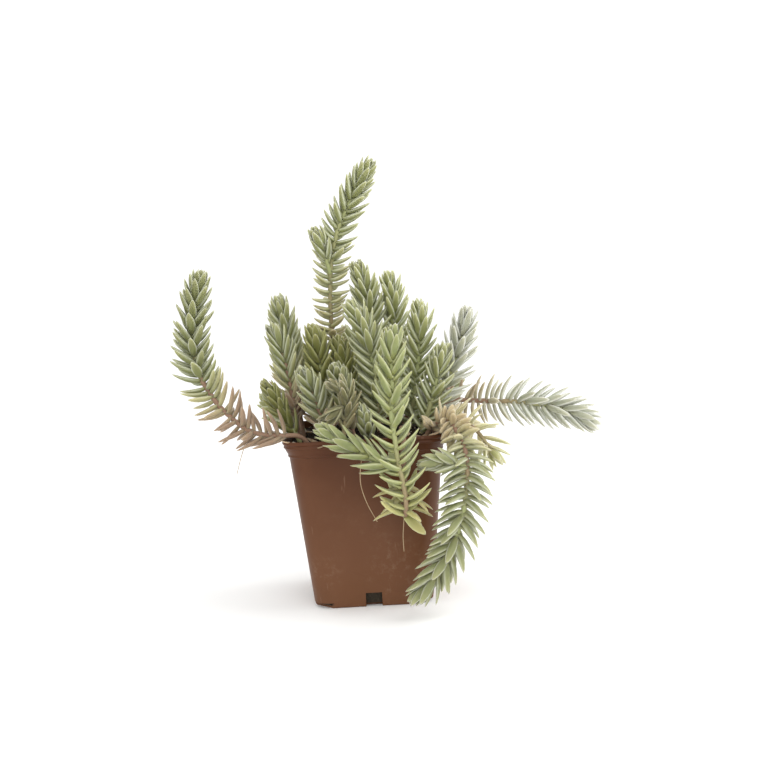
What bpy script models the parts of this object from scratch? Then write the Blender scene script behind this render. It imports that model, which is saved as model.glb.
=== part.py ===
# A potted sedum: a square moulded nursery pot, its block of soil, and the leafy stems that grow out of it.
# Metres, +Z up, X to the right, Y to the back. The origin is the middle of the pot's flat underside.

import math
import random
from collections import namedtuple

import bmesh
import bpy
from mathutils import Matrix, Vector
from mathutils.bvhtree import BVHTree

MM = 0.001

# The pot, outside
RIM_WIDTH = 90 * MM
NECK_WIDTH = 83.2 * MM       # just under the collar
BASE_WIDTH = 66 * MM
POT_HEIGHT = 95 * MM
RIM_CORNER_RADIUS = 12 * MM  # the corners narrow with the wall
CORNER_SEGMENTS = 4
BOTTOM_EDGE = 1 * MM         # the rounding round the foot

# The collar: heights below the rim, and how much narrower than the rim it is there
COLLAR_DROP = 11 * MM
COLLAR_TURN_DROP = 8.5 * MM
COLLAR_TURN_NARROWER = 5.9 * MM
SLOPE_DROP = 5.4 * MM
SLOPE_NARROWER = 3 * MM
LIP_DROP = 3.6 * MM
LIP_NARROWER = 1.4 * MM
BEAD_DROP = 1.6 * MM
BEAD = 0.4 * MM              # how far the bead round the rim stands out
BEAD_STEP = 0.3 * MM

# The pot, walls and drainage
WALL = 1.1 * MM
INSIDE_DRAFT = 0.4 * MM      # a little more wall at the foot and under the collar
FLOOR = 1.4 * MM
NOTCH_WIDTH = 9 * MM
NOTCH_HEIGHT = 8 * MM
NOTCH_DEPTH = 5 * MM         # in from the wall, into the floor
FOOT_CUT_LEG = 11 * MM       # along each side of a corner
FOOT_CUT_HEIGHT = 3 * MM
DRAIN_HOLE_RADIUS = 2.5 * MM
DRAIN_HOLE_OFFSET = 15 * MM
DRAIN_HOLE_SIDES = 10
CUT_OVER = 2 * MM            # how far a cutter runs past what it cuts

# The soil
SOIL_TOP = 90 * MM
FIT = 0.3 * MM
ROOT_DEPTH = 14 * MM
HOLE_SIDES = 6

# Stems and leaves
STEM_RADIUS = 1.4 * MM
TIP_RADIUS = 1.2 * MM
CORE_RADIUS = 2.7 * MM       # the slim core among the crowded leaves below a tip
CORE_START = 6 * MM          # below the growing point
CORE_END = 30 * MM
CORE_FADE = 12 * MM
CORE_TAPER = 0.12            # thickening for each length of stem
ROUTE_STEPS = 12             # between two points of a route
STEM_STEP = 10 * MM          # between the rings of a stem, or less where it turns
STEM_TURN = math.radians(28)
STEM_LOOK = 0.5 * MM
HEAD_SHARE = 0.68            # of its full length, which a leaf has at the growing point
LEAF_WIDTH = 5 * MM
LEAF_THICKNESS = 3.3 * MM
LEAF_WIDEST = 0.5            # of the way along the leaf
LEAF_ROOT = 0.35             # of its full width and thickness
LENGTHENED_REACH = 12 * MM   # leaves reach their full length this far below the growing point
TIP_CURL = 0.12              # of its length, towards the growing tip, at the growing point
LEAF_CURL = 0.3              # the same once it is full-grown
TIP_ANGLE = 14               # degrees from the stem, at the growing point
GROWN_REACH = 60 * MM        # leaves reach their full spread this far below the tip
OPENING = 0.85               # how soon they open on the way
LIGHT = Vector((0.02, -1, 0.01))  # the way to the brightest light
PARTING = 0.45               # how far full-grown leaves part to the sides of the light
TIP_SPACING = 2.5 * MM
LEAF_SPACING = 3.3 * MM
GOLDEN_ANGLE = math.radians(137.5)
TURN_JITTER = 12             # degrees
SPREAD_JITTER = 4            # degrees
LENGTH_JITTER = (0.92, 1.06)
FIRST_REACH = 0.3 * MM       # of the topmost leaf, below the growing point
LEAF_GAP = 0.35 * MM
GROUND_GAP = 0.5 * MM
SEED = 7

# Where a leaf has no room, it is tried again with less spread and less length
LEAF_TRIES = [(1, 1), (0.8, 1), (0.6, 1), (0.45, 0.9), (0.3, 0.8), (1, 0.7), (0.2, 0.7), (0.6, 0.6)]

# A stem's route runs in millimetres from the soil to the tip of its topmost leaves. Its first point is
# where it stands in the soil. bare is the length without leaves, spread the opening of its full-grown
# leaves in degrees, and leaf their length in millimetres. A branch starts inside its stem.
Stem = namedtuple("Stem", "name colour bare spread leaf route branches", defaults=((),))
Branch = namedtuple("Branch", "bare spread leaf route")

STEMS = [
    Stem("left_arch_stem", "grey_green", 6, 85, 16, [
        (-31, -31, 91), (-36, -33, 97), (-45, -35, 98), (-58, -35, 100), (-67, -34, 105), (-77, -33, 115),
        (-83, -32, 124), (-88, -31, 135), (-90, -30, 148), (-89, -29, 163), (-86, -29, 177),
        (-82, -28, 190)]),
    Stem("tall_stem", "grey_green", 52, 80, 15.5, [
        (-13, 15, 91), (-16, 13, 139), (-16, 11, 168), (-14, 10, 190), (-10, 9, 207), (-4, 8, 222),
        (5, 8, 236), (14, 8, 247)],
        (Branch(6, 45, 12.5, [(-15, 10, 183), (-18, 5, 196), (-21, 2, 204), (-23, 0, 211)]),)),
    Stem("cluster_tall_stem", "grey_green", 10, 58, 14.5, [
        (-35, -2, 91), (-40, 2, 129), (-42, 3, 150), (-44, 3, 163), (-45, 3, 174)]),
    Stem("cluster_front_stem", "grey_green", 10, 58, 14.5, [
        (-37, -11, 91), (-41, -11, 127), (-44, -12, 143), (-48, -13, 152), (-52, -14, 157)]),
    Stem("cluster_back_stem", "grey_green", 12, 60, 14.5, [
        (-28, 12, 91), (-37, 15, 125), (-42, 16, 145), (-50, 16, 165)]),
    Stem("short_left_stem", "dark_green", 3, 60, 13.5, [
        (-36, -20, 91), (-42, -20, 102), (-46, -21, 111), (-49, -22, 118), (-55, -24, 128)]),
    Stem("left_rosette_stem", "grey_green", 5, 58, 14.5, [
        (-20, -27, 91), (-24, -30, 109), (-26, -34, 118), (-29, -37, 127), (-31, -40, 136)]),
    Stem("middle_rosette_stem", "grey_green", 6, 58, 14.5, [
        (-6, -20, 91), (-10, -23, 111), (-12, -27, 123), (-15, -31, 136)]),
    Stem("dark_left_stem", "dark_green", 8, 56, 14.5, [
        (-23, -5, 91), (-23, -6, 121), (-24, -8, 140), (-27, -9, 157)]),
    Stem("dark_middle_stem", "dark_green", 8, 56, 14.5, [
        (-8, -3, 91), (-10, -5, 118), (-11, -7, 136), (-14, -8, 149)]),
    Stem("drooping_stem", "dried", 7, 60, 12.5, [
        (-12, -36, 91), (-9, -38, 109), (-9, -40, 118), (-14, -42, 123), (-20, -44, 126)],
        (Branch(2, 50, 12.5, [(-9, -39, 114), (-13, -43, 111), (-19, -45, 108), (-25, -47, 107)]),)),
    Stem("middle_back_stem", "grey_green", 20, 66, 14.5, [
        (6, 14, 91), (5, 13, 126), (6, 12, 150), (5, 10, 169), (2, 9, 181), (0, 8, 191)]),
    Stem("middle_right_stem", "grey_green", 20, 66, 14.5, [
        (17, 17, 91), (20, 16, 131), (20, 16, 154), (19, 15, 171), (17, 14, 184)]),
    Stem("middle_front_stem", "grey_green", 10, 68, 16, [
        (8, -10, 91), (8, -13, 118), (6, -16, 137), (2, -18, 153), (-6, -20, 169)]),
    Stem("hooked_stem", "bright_green", 48, 62, 16, [
        (20, -34, 91), (20, -41, 99), (21, -49, 98), (20, -54, 88), (20, -56, 74), (19, -58, 63),
        (19, -61, 56), (20, -65, 63), (19, -66, 74), (17, -66, 85), (16, -65, 97), (15, -64, 110),
        (16, -62, 125), (17, -59, 140), (19, -56, 157)],
        (Branch(4, 52, 14.5, [(18, -66, 81), (8, -66, 86), (-1, -64, 91), (-10, -62, 96), (-18, -60, 101),
                            (-26, -58, 105)]),)),
    Stem("right_upright_stem", "grey_green", 14, 70, 14.5, [
        (25, 2, 91), (29, 0, 112), (32, -1, 132), (34, -2, 148), (34, -3, 167)]),
    Stem("right_leaning_stem", "bloomed", 14, 66, 16, [
        (36, -4, 91), (41, -5, 108), (47, -6, 119), (52, -7, 130), (57, -8, 145), (61, -8, 162)]),
    Stem("right_inner_stem", "grey_green", 4, 70, 13.5, [
        (31, -16, 91), (37, -17, 108), (41, -18, 121), (44, -19, 132), (48, -20, 143)]),
    Stem("right_level_stem", "bloomed", 16, 88, 16, [
        (36, 10, 91), (48, 10, 106), (61, 9, 106), (75, 8, 105), (89, 7, 104), (104, 6, 101),
        (117, 5, 97), (126, 4, 92), (134, 3, 86)]),
    Stem("hanging_stem", "pale_green", 8, 84, 16, [
        (33, -30, 91), (38, -35, 99), (45, -40, 102), (49, -49, 97), (52, -56, 90), (53, -60, 81),
        (53, -62, 70), (51.5, -63, 59), (48, -63, 47), (42.5, -62, 36), (35.5, -61, 25), (28, -60, 16),
        (20, -58, 9)],
        (Branch(4, 50, 12.5, [(53, -60, 80), (42, -62, 83), (35, -62, 83), (26, -61, 81)]),)),
    Stem("pink_side_stem", "yellow_green", 8, 66, 13, [
        (38, -17, 91), (44, -20, 99), (53, -25, 99), (61, -30, 94), (67, -35, 87), (72, -39, 79)]),
    Stem("young_shoot", "grey_green", 3, 50, 10, [
        (2, -33, 91), (1, -35, 100), (-1, -37, 107), (-4, -39, 115)]),
    Stem("back_left_stem", "grey_green", 7, 66, 14.5, [
        (-24, 28, 91), (-27, 33, 105), (-32, 40, 122), (-36, 46, 140)]),
    Stem("back_middle_stem", "grey_green", 7, 66, 14.5, [
        (-4, 30, 91), (-5, 35, 108), (-8, 41, 128), (-10, 45, 152)]),
    Stem("back_right_stem", "grey_green", 7, 66, 14.5, [
        (16, 32, 91), (19, 37, 108), (25, 44, 124), (32, 50, 138)]),
    Stem("back_low_stem", "grey_green", 8, 66, 14.5, [
        (32, 24, 91), (38, 30, 100), (48, 38, 108), (57, 45, 120)]),
    Stem("back_edge_stem", "grey_green", 8, 66, 14.5, [
        (-36, 20, 91), (-43, 28, 99), (-53, 36, 104), (-62, 43, 114)]),
]

# Colours, linear
COLOURS = {
    "plastic": (0.17, 0.062, 0.034),
    "soil": (0.03, 0.02, 0.014),
    "grey_green": (0.22, 0.27, 0.13),
    "dark_green": (0.14, 0.19, 0.07),
    "bright_green": (0.30, 0.38, 0.13),
    "pale_green": (0.34, 0.38, 0.24),
    "bloomed": (0.50, 0.50, 0.39),
    "yellow_green": (0.42, 0.38, 0.17),
    "dried": (0.30, 0.25, 0.16),
}
ROUGHNESS = {"plastic": 0.5, "soil": 0.95}
LEAF_ROUGHNESS = 0.6


def clear_scene():
    for obj in list(bpy.data.objects):
        bpy.data.objects.remove(obj, do_unlink=True)


def new_collection(name):
    collection = bpy.data.collections.new(name)
    bpy.context.scene.collection.children.link(collection)
    return collection


def material(name, finish):
    mat = bpy.data.materials.new(name)
    mat.use_nodes = True
    shader = mat.node_tree.nodes["Principled BSDF"]
    shader.inputs["Base Color"].default_value = (*COLOURS[finish], 1)
    shader.inputs["Roughness"].default_value = ROUGHNESS.get(finish, LEAF_ROUGHNESS)
    shader.inputs["Metallic"].default_value = 0
    return mat


def add_object(name, mesh, collection):
    obj = bpy.data.objects.new(name, mesh)
    collection.objects.link(obj)
    return obj


def give_material(obj, finish):
    obj.data.materials.clear()
    obj.data.materials.append(material(obj.name + "_finish", finish))


def evaluated_mesh(obj):
    bpy.context.view_layer.update()
    graph = bpy.context.evaluated_depsgraph_get()
    return bpy.data.meshes.new_from_object(obj.evaluated_get(graph))


def turned_square(profile):
    """A closed solid of rounded squares, one for each (height, width) of the profile."""
    bm = bmesh.new()
    height, width = profile[0]
    bmesh.ops.create_grid(bm, x_segments=1, y_segments=1, size=RIM_WIDTH / 2)
    bmesh.ops.bevel(bm, geom=bm.verts[:], offset=RIM_CORNER_RADIUS, segments=CORNER_SEGMENTS,
                    profile=0.5, affect="VERTICES")
    bmesh.ops.scale(bm, vec=(width / RIM_WIDTH, width / RIM_WIDTH, 1), verts=bm.verts)
    bmesh.ops.translate(bm, vec=(0, 0, height), verts=bm.verts)
    edges = bm.edges[:]
    for next_height, next_width in profile[1:]:
        ring = bmesh.ops.extrude_edge_only(bm, edges=edges)["geom"]
        verts = [item for item in ring if isinstance(item, bmesh.types.BMVert)]
        edges = [item for item in ring if isinstance(item, bmesh.types.BMEdge)]
        bmesh.ops.scale(bm, vec=(next_width / width, next_width / width, 1), verts=verts)
        bmesh.ops.translate(bm, vec=(0, 0, next_height - height), verts=verts)
        height, width = next_height, next_width
    bmesh.ops.contextual_create(bm, geom=edges)
    bmesh.ops.recalc_face_normals(bm, faces=bm.faces)
    mesh = bpy.data.meshes.new("turned_square")
    bm.to_mesh(mesh)
    bm.free()
    return mesh


def outside_profile():
    """From the foot up to the rim: (height, width)."""
    return [
        (0, BASE_WIDTH - 2 * BOTTOM_EDGE),
        (BOTTOM_EDGE, BASE_WIDTH),
        (POT_HEIGHT - COLLAR_DROP, NECK_WIDTH),
        (POT_HEIGHT - COLLAR_TURN_DROP, RIM_WIDTH - COLLAR_TURN_NARROWER),
        (POT_HEIGHT - SLOPE_DROP, RIM_WIDTH - SLOPE_NARROWER),
        (POT_HEIGHT - LIP_DROP, RIM_WIDTH - LIP_NARROWER),
        (POT_HEIGHT - BEAD_DROP - BEAD_STEP, RIM_WIDTH - 2 * BEAD),
        (POT_HEIGHT - BEAD_DROP, RIM_WIDTH),
        (POT_HEIGHT, RIM_WIDTH),
    ]


def inside_profile(gap=0.0):
    """The inner wall from the rim down to the floor, moved inwards by the gap."""
    thin = 2 * (WALL + gap)
    return [
        (POT_HEIGHT, RIM_WIDTH - 2 * BEAD - thin),
        (POT_HEIGHT - LIP_DROP, RIM_WIDTH - LIP_NARROWER - INSIDE_DRAFT - thin),
        (POT_HEIGHT - COLLAR_TURN_DROP, NECK_WIDTH - thin),
        (POT_HEIGHT - COLLAR_DROP, NECK_WIDTH - INSIDE_DRAFT - thin),
        (FLOOR + gap, BASE_WIDTH - INSIDE_DRAFT - thin),
    ]


def box(size, centre, turn):
    """A box with its middle at the centre, both then turned round the origin."""
    bm = bmesh.new()
    bmesh.ops.create_cube(bm, size=1)
    bmesh.ops.scale(bm, vec=size, verts=bm.verts)
    bmesh.ops.translate(bm, vec=centre, verts=bm.verts)
    bmesh.ops.rotate(bm, cent=(0, 0, 0), matrix=Matrix.Rotation(turn, 3, "Z"), verts=bm.verts)
    mesh = bpy.data.meshes.new("box")
    bm.to_mesh(mesh)
    bm.free()
    return mesh


def cylinder(radius, low, high, sides, x, y):
    bm = bmesh.new()
    bmesh.ops.create_cone(bm, cap_ends=True, segments=sides, radius1=radius, radius2=radius,
                          depth=high - low)
    bmesh.ops.translate(bm, vec=(x, y, (low + high) / 2), verts=bm.verts)
    mesh = bpy.data.meshes.new("cylinder")
    bm.to_mesh(mesh)
    bm.free()
    return mesh


def join_all(obj, pieces, operation):
    """One Boolean of the object with every piece of a collection, applied."""
    cut = obj.modifiers.new("join", "BOOLEAN")
    cut.operation = operation
    cut.operand_type = "COLLECTION"
    cut.collection = pieces
    cut.solver = "EXACT"
    joined = evaluated_mesh(obj)
    obj.modifiers.clear()
    obj.data = joined
    for piece in list(pieces.objects):
        bpy.data.objects.remove(piece, do_unlink=True)
    bpy.data.collections.remove(pieces)


def build_pot(parts):
    """Moulded in one piece: wall, collar and floor, with a notch in each side, cut corners and holes."""
    pot = add_object("pot", turned_square(outside_profile() + inside_profile()), parts)
    cutters = new_collection("drainage")
    notch_size = (NOTCH_WIDTH, NOTCH_DEPTH + CUT_OVER, 2 * NOTCH_HEIGHT)
    notch_place = Vector((0, -(BASE_WIDTH - NOTCH_DEPTH + CUT_OVER) / 2, 0))
    corner_size = (BASE_WIDTH / 2, BASE_WIDTH, 2 * FOOT_CUT_HEIGHT)
    corner_place = Vector(((BASE_WIDTH - FOOT_CUT_LEG) / math.sqrt(2) + BASE_WIDTH / 4, 0, 0))
    for quarter in range(4):
        side = quarter * math.pi / 2
        corner = side + math.pi / 4
        add_object("notch", box(notch_size, notch_place, side), cutters)
        add_object("corner", box(corner_size, corner_place, corner), cutters)
        hole = Matrix.Rotation(side, 3, "Z") @ Vector((DRAIN_HOLE_OFFSET, DRAIN_HOLE_OFFSET, 0))
        add_object("hole", cylinder(DRAIN_HOLE_RADIUS, -CUT_OVER, FLOOR + CUT_OVER, DRAIN_HOLE_SIDES,
                                    hole.x, hole.y), cutters)
    join_all(pot, cutters, "DIFFERENCE")
    give_material(pot, "plastic")
    return pot


def build_soil(parts):
    """Potting soil that fills the pot to just below its rim, with a plain hole for each stem."""
    walls = inside_profile(FIT)
    above = [ring for ring in walls if ring[0] > SOIL_TOP][-1]
    rings = [ring for ring in walls if ring[0] < SOIL_TOP]
    part_way = (SOIL_TOP - rings[0][0]) / (above[0] - rings[0][0])
    top = (SOIL_TOP, rings[0][1] + part_way * (above[1] - rings[0][1]))
    soil = add_object("soil", turned_square(rings[::-1] + [top]), parts)
    cutters = new_collection("holes")
    for stem in STEMS:
        x, y, _ = stem.route[0]
        add_object("hole", cylinder(STEM_RADIUS + 2 * FIT, SOIL_TOP - ROOT_DEPTH - FIT, SOIL_TOP + CUT_OVER,
                                    HOLE_SIDES, x * MM, y * MM), cutters)
    join_all(soil, cutters, "DIFFERENCE")
    give_material(soil, "soil")
    return soil


def smooth_route(route, before=None):
    """A Catmull-Rom curve through the route. With a point before it, it starts in line with that."""
    points = [Vector(point) * MM for point in route]
    points = [before or 2 * points[0] - points[1]] + points + [2 * points[-1] - points[-2]]
    curve = []
    for p0, p1, p2, p3 in zip(points, points[1:], points[2:], points[3:]):
        for step in range(ROUTE_STEPS):
            t = step / ROUTE_STEPS
            curve.append(0.5 * (2 * p1 + (p2 - p0) * t + (2 * p0 - 5 * p1 + 4 * p2 - p3) * t * t
                                + (3 * p1 - p0 - 3 * p2 + p3) * t ** 3))
    curve.append(points[-2])
    return curve


class Path:
    """A curve measured by its length."""

    def __init__(self, points):
        self.points = points
        self.marks = [0.0]
        for a, b in zip(points, points[1:]):
            self.marks.append(self.marks[-1] + (b - a).length)
        self.length = self.marks[-1]

    def at(self, distance):
        """The point and the direction there."""
        distance = min(max(distance, 0.0), self.length)
        for index in range(len(self.marks) - 1):
            if self.marks[index + 1] >= distance:
                break
        a, b = self.points[index], self.points[index + 1]
        step = self.marks[index + 1] - self.marks[index]
        return a.lerp(b, (distance - self.marks[index]) / step), (b - a).normalized()


def tube_path(curve, head):
    """The curve up to the growing point, with a point wherever it has run or turned far enough."""
    points = [curve.at(0)[0]]
    mark, heading = 0.0, curve.at(0)[1]
    end = curve.length - head
    distance = 0.0
    while distance < end:
        point, direction = curve.at(distance)
        if distance - mark >= STEM_STEP or heading.angle(direction) > STEM_TURN:
            points.append(point)
            mark, heading = distance, direction
        distance += STEM_LOOK
    points.append(curve.at(end)[0])
    return Path(points)


def stem_path(plan):
    """Out of the soil straight up, then along the route."""
    foot = Vector(plan.route[0]) * MM
    foot.z = SOIL_TOP - ROOT_DEPTH
    return Path([foot] + tube_path(Path(smooth_route(plan.route, foot)), HEAD_SHARE * plan.leaf * MM).points)


def branch_path(plan):
    return tube_path(Path(smooth_route(plan.route)), HEAD_SHARE * plan.leaf * MM)


def stem_radius(path, mark, buried):
    """The stem's radius at this mark. Out of the soil it thickens only little by little."""
    reach = path.length - mark
    fade = min(max((reach - CORE_END) / CORE_FADE, 0), 1)
    radius = CORE_RADIUS + (STEM_RADIUS - CORE_RADIUS) * fade
    if reach < CORE_START:
        radius = TIP_RADIUS + (CORE_RADIUS - TIP_RADIUS) * reach / CORE_START
    return min(radius, STEM_RADIUS + CORE_TAPER * max(mark - buried, 0))


def stem_tube(path, buried):
    """A tapered four-sided tube along the path."""
    curve = bpy.data.curves.new("stem", "CURVE")
    curve.dimensions = "3D"
    curve.bevel_depth = 1
    curve.bevel_resolution = 0
    curve.use_fill_caps = True
    spline = curve.splines.new("POLY")
    spline.points.add(len(path.points) - 1)
    for point, place, mark in zip(spline.points, path.points, path.marks):
        point.co = (*place, 1)
        point.radius = stem_radius(path, mark, buried)
    guide = bpy.data.objects.new("stem_guide", curve)
    bpy.context.scene.collection.objects.link(guide)
    mesh = evaluated_mesh(guide)
    bpy.data.objects.remove(guide, do_unlink=True)
    bm = bmesh.new()
    bm.from_mesh(mesh)
    bmesh.ops.remove_doubles(bm, verts=bm.verts, dist=0.01 * MM)
    bmesh.ops.recalc_face_normals(bm, faces=bm.faces)
    bm.to_mesh(mesh)
    bm.free()
    return mesh


def leaf_form():
    """A three-sided blade, flat above and keeled below: how far along, across and up each corner is,
    as parts of the leaf's length, width and thickness."""
    bm = bmesh.new()
    bmesh.ops.create_cone(bm, cap_ends=True, segments=3, radius1=LEAF_ROOT, radius2=1,
                          depth=LEAF_WIDEST)
    bmesh.ops.translate(bm, vec=(0, 0, LEAF_WIDEST / 2), verts=bm.verts)
    top = max(bm.faces, key=lambda face: face.calc_center_median().z)
    tip = bmesh.ops.poke(bm, faces=[top])["verts"][0]
    tip.co.z = 1
    bm.verts.index_update()
    # The cone's triangle is the square root of 3 wide and 1.5 high, with one corner at its +y
    corners = [(vert.co.z, -vert.co.x / math.sqrt(3), -vert.co.y / 1.5) for vert in bm.verts]
    faces = [[vert.index for vert in face.verts] for face in bm.faces]
    bm.free()
    return corners, faces


LEAF_CORNERS, LEAF_FACES = leaf_form()


def leaf_points(root, tangent, side, angle, length, curl, grow=0.0):
    """A leaf that leaves the stem to the side, opened by the angle, and curls back towards the tip."""
    along = math.cos(angle) * tangent + math.sin(angle) * side
    across = tangent.cross(side)
    up = math.sin(angle) * tangent - math.cos(angle) * side
    points = []
    for u, a, h in LEAF_CORNERS:
        point = root + along * (u * length)
        point += across * (a * (LEAF_WIDTH + 2 * grow)) + up * (h * (LEAF_THICKNESS + 2 * grow))
        point += tangent * (curl * u * u * length)
        points.append(point)
    return points


def leaf_is_clear(points, others):
    if min(point.z for point in points) < GROUND_GAP:
        return False
    return not BVHTree.FromPolygons(points, LEAF_FACES).overlap(others)


def grow_leaves(path, plan, others, draw):
    """Leaves in a golden-angle spiral, close at the tip and wider apart below."""
    leaves = []
    first = plan.bare * MM
    reach = FIRST_REACH
    turn = draw.uniform(0, 2 * math.pi)
    while path.length - reach > first:
        root, tangent = path.at(path.length - reach)
        front = (LIGHT - LIGHT.project(tangent)).normalized()
        grown = min(reach / GROWN_REACH, 1)
        spread = TIP_ANGLE + (plan.spread - TIP_ANGLE) * grown ** OPENING
        spread += draw.uniform(-SPREAD_JITTER, SPREAD_JITTER)
        length = plan.leaf * MM * (HEAD_SHARE + (1 - HEAD_SHARE) * min(reach / LENGTHENED_REACH, 1))
        length *= draw.uniform(*LENGTH_JITTER)
        curl = TIP_CURL + (LEAF_CURL - TIP_CURL) * grown
        parted = turn + PARTING * grown / 2 * math.sin(2 * turn)
        outward = Matrix.Rotation(parted, 3, tangent) @ front
        for fold, cut in LEAF_TRIES:
            angle = math.radians(spread * fold)
            leaf = (root, tangent, outward, angle, length * cut, curl)
            if leaf_is_clear(leaf_points(*leaf, LEAF_GAP), others):
                leaves.append(leaf_points(*leaf))
                break
        turn += GOLDEN_ANGLE + math.radians(draw.uniform(-TURN_JITTER, TURN_JITTER))
        reach += TIP_SPACING + (LEAF_SPACING - TIP_SPACING) * grown
    return leaves


def all_but(owner, solids):
    """One search tree of every solid that isn't this owner's."""
    verts, faces = [], []
    for name, mesh in solids:
        if name != owner:
            start = len(verts)
            verts += [vert.co.copy() for vert in mesh.vertices]
            faces += [[start + index for index in face.vertices] for face in mesh.polygons]
    return BVHTree.FromPolygons(verts, faces)


def build_stems(parts, pot, soil):
    """Each stem takes its leaves in turn, clear of the pot, of every other stem and of their leaves."""
    draw = random.Random(SEED)
    plans = []
    solids = [("pot", pot.data), ("soil", soil.data)]
    for stem in STEMS:
        path = stem_path(stem)
        limbs = [(path, stem._replace(bare=stem.bare + ROOT_DEPTH / MM), stem_tube(path, ROOT_DEPTH))]
        for branch in stem.branches:
            path = branch_path(branch)
            limbs.append((path, branch, stem_tube(path, 0)))
        plans.append((stem, limbs))
        solids += [(stem.name, tube) for _, _, tube in limbs]
    for stem, limbs in plans:
        others = all_but(stem.name, solids)
        pieces = new_collection(stem.name + "_pieces")
        body = add_object(stem.name, limbs[0][2], parts)
        for _, _, tube in limbs[1:]:
            add_object("branch", tube, pieces)
        for path, plan, _ in limbs:
            for points in grow_leaves(path, plan, others, draw):
                leaf = bpy.data.meshes.new("leaf")
                leaf.from_pydata(points, [], LEAF_FACES)
                add_object("leaf", leaf, pieces)
                solids.append((stem.name, leaf))
        join_all(body, pieces, "UNION")
        give_material(body, stem.colour)


clear_scene()
sedum = new_collection("potted_sedum")
pot_object = build_pot(sedum)
soil_object = build_soil(sedum)
build_stems(sedum, pot_object, soil_object)
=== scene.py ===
# A potted sedum: a square moulded nursery pot, its block of soil, and the leafy stems that grow out of it.
# Metres, +Z up, X to the right, Y to the back. The origin is the middle of the pot's flat underside.

import math
import random
from bisect import bisect_left
from collections import namedtuple

import bpy
import numpy as np
from mathutils import Matrix, Vector, noise
from mathutils.bvhtree import BVHTree


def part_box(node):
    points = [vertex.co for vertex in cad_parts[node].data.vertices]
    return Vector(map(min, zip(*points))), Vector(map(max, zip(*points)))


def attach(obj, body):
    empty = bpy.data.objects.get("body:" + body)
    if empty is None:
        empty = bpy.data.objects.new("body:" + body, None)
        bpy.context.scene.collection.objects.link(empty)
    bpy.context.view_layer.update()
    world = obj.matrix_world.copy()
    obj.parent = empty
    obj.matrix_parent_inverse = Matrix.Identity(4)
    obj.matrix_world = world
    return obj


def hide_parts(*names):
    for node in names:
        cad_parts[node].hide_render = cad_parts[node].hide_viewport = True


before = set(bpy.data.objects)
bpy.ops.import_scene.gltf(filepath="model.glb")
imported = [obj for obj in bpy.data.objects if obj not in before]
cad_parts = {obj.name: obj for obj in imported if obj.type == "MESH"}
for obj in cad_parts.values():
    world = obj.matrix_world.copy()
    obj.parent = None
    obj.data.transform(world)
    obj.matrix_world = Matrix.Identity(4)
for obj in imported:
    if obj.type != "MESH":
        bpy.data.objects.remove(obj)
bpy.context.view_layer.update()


# The pot is a square nursery pot, injection moulded in one piece from brown polypropylene. It tapers so that
# empty pots nest, a collar stiffens its rim, and water leaves through a notch in the foot of each side,
# under the cut corners and through holes in the floor.

MM = 0.001
POT_LOW, POT_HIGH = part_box("pot")
RIM_WIDTH = POT_HIGH.x - POT_LOW.x
POT_HEIGHT = POT_HIGH.z
RIM_CORNER_RADIUS = 12 * MM
CORNER_SEGMENTS = 10
BASE_WIDTH = 66 * MM
POT_FLOOR = 1.4 * MM
NOTCH_WIDTH = 9 * MM
NOTCH_HEIGHT = 8 * MM
NOTCH_DEPTH = 5 * MM
FOOT_CUT_LEG = 11 * MM
FOOT_CUT_HEIGHT = 3 * MM
DRAIN_HOLE_RADIUS = 2.5 * MM
DRAIN_HOLE_OFFSET = 15 * MM
DRAIN_HOLE_SIDES = 24
EDGE_ROUNDING = 0.25 * MM
EDGE_SEGMENTS = 2
# Edges that turn by more than the first angle are rounded; the shading stays crisp past the second
ROUNDING_ANGLE = math.radians(50)
SMOOTH_ANGLE = math.radians(32)

# Millimetres: the height of each ring of the outside and its width, with the thin raised lines of the mould
OUTSIDE_RINGS = [
    (0, 64), (0.3, 65.2), (1, 66), (30, 71.9), (60, 78.1), (84, 83.1), (85.7, 83.4), (85.9, 84.3),
    (86.3, 84.8), (86.8, 84.8), (87.2, 84.5), (88.2, 85.4), (89.6, 86.8), (90.8, 87.8), (91, 88.5),
    (91.4, 88.9), (91.9, 88.7), (92.8, 88.5), (93, 89.3), (93.4, 89.9), (94.2, 90), (94.7, 89.8), (95, 89.2)]
INSIDE_RINGS = [
    (95, 87.8), (94.6, 87.2), (91.4, 86), (86.5, 81), (84, 80.6), (40, 71.6), (1.4, 63.6)]


def deselect():
    bpy.ops.object.select_all(action="DESELECT")


def select_only(obj):
    deselect()
    obj.select_set(True)
    bpy.context.view_layer.objects.active = obj


def apply_modifiers(obj):
    select_only(obj)
    for modifier in list(obj.modifiers):
        bpy.ops.object.modifier_apply(modifier=modifier.name)


def rounded_shell(name, rings):
    """A rounded square raised ring by ring; each ring is (height, width) in millimetres."""
    deselect()
    bpy.ops.mesh.primitive_plane_add(size=RIM_WIDTH)
    shell = bpy.context.object
    shell.name = name
    bpy.ops.object.mode_set(mode="EDIT")
    bpy.ops.mesh.bevel(offset=RIM_CORNER_RADIUS, segments=CORNER_SEGMENTS, affect="VERTICES")
    bpy.ops.mesh.select_all(action="SELECT")
    height, width = rings[0][0] * MM, rings[0][1] * MM
    share = width / RIM_WIDTH
    bpy.ops.transform.resize(value=(share, share, 1))
    bpy.ops.transform.translate(value=(0, 0, height))
    for next_height, next_width in rings[1:]:
        rise = next_height * MM - height
        share = next_width * MM / width
        bpy.ops.mesh.extrude_region_move(TRANSFORM_OT_translate={"value": (0, 0, rise)})
        bpy.ops.transform.resize(value=(share, share, 1))
        height, width = next_height * MM, next_width * MM
    bpy.ops.mesh.select_all(action="SELECT")
    bpy.ops.mesh.normals_make_consistent(inside=False)
    bpy.ops.object.mode_set(mode="OBJECT")
    return shell


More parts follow.
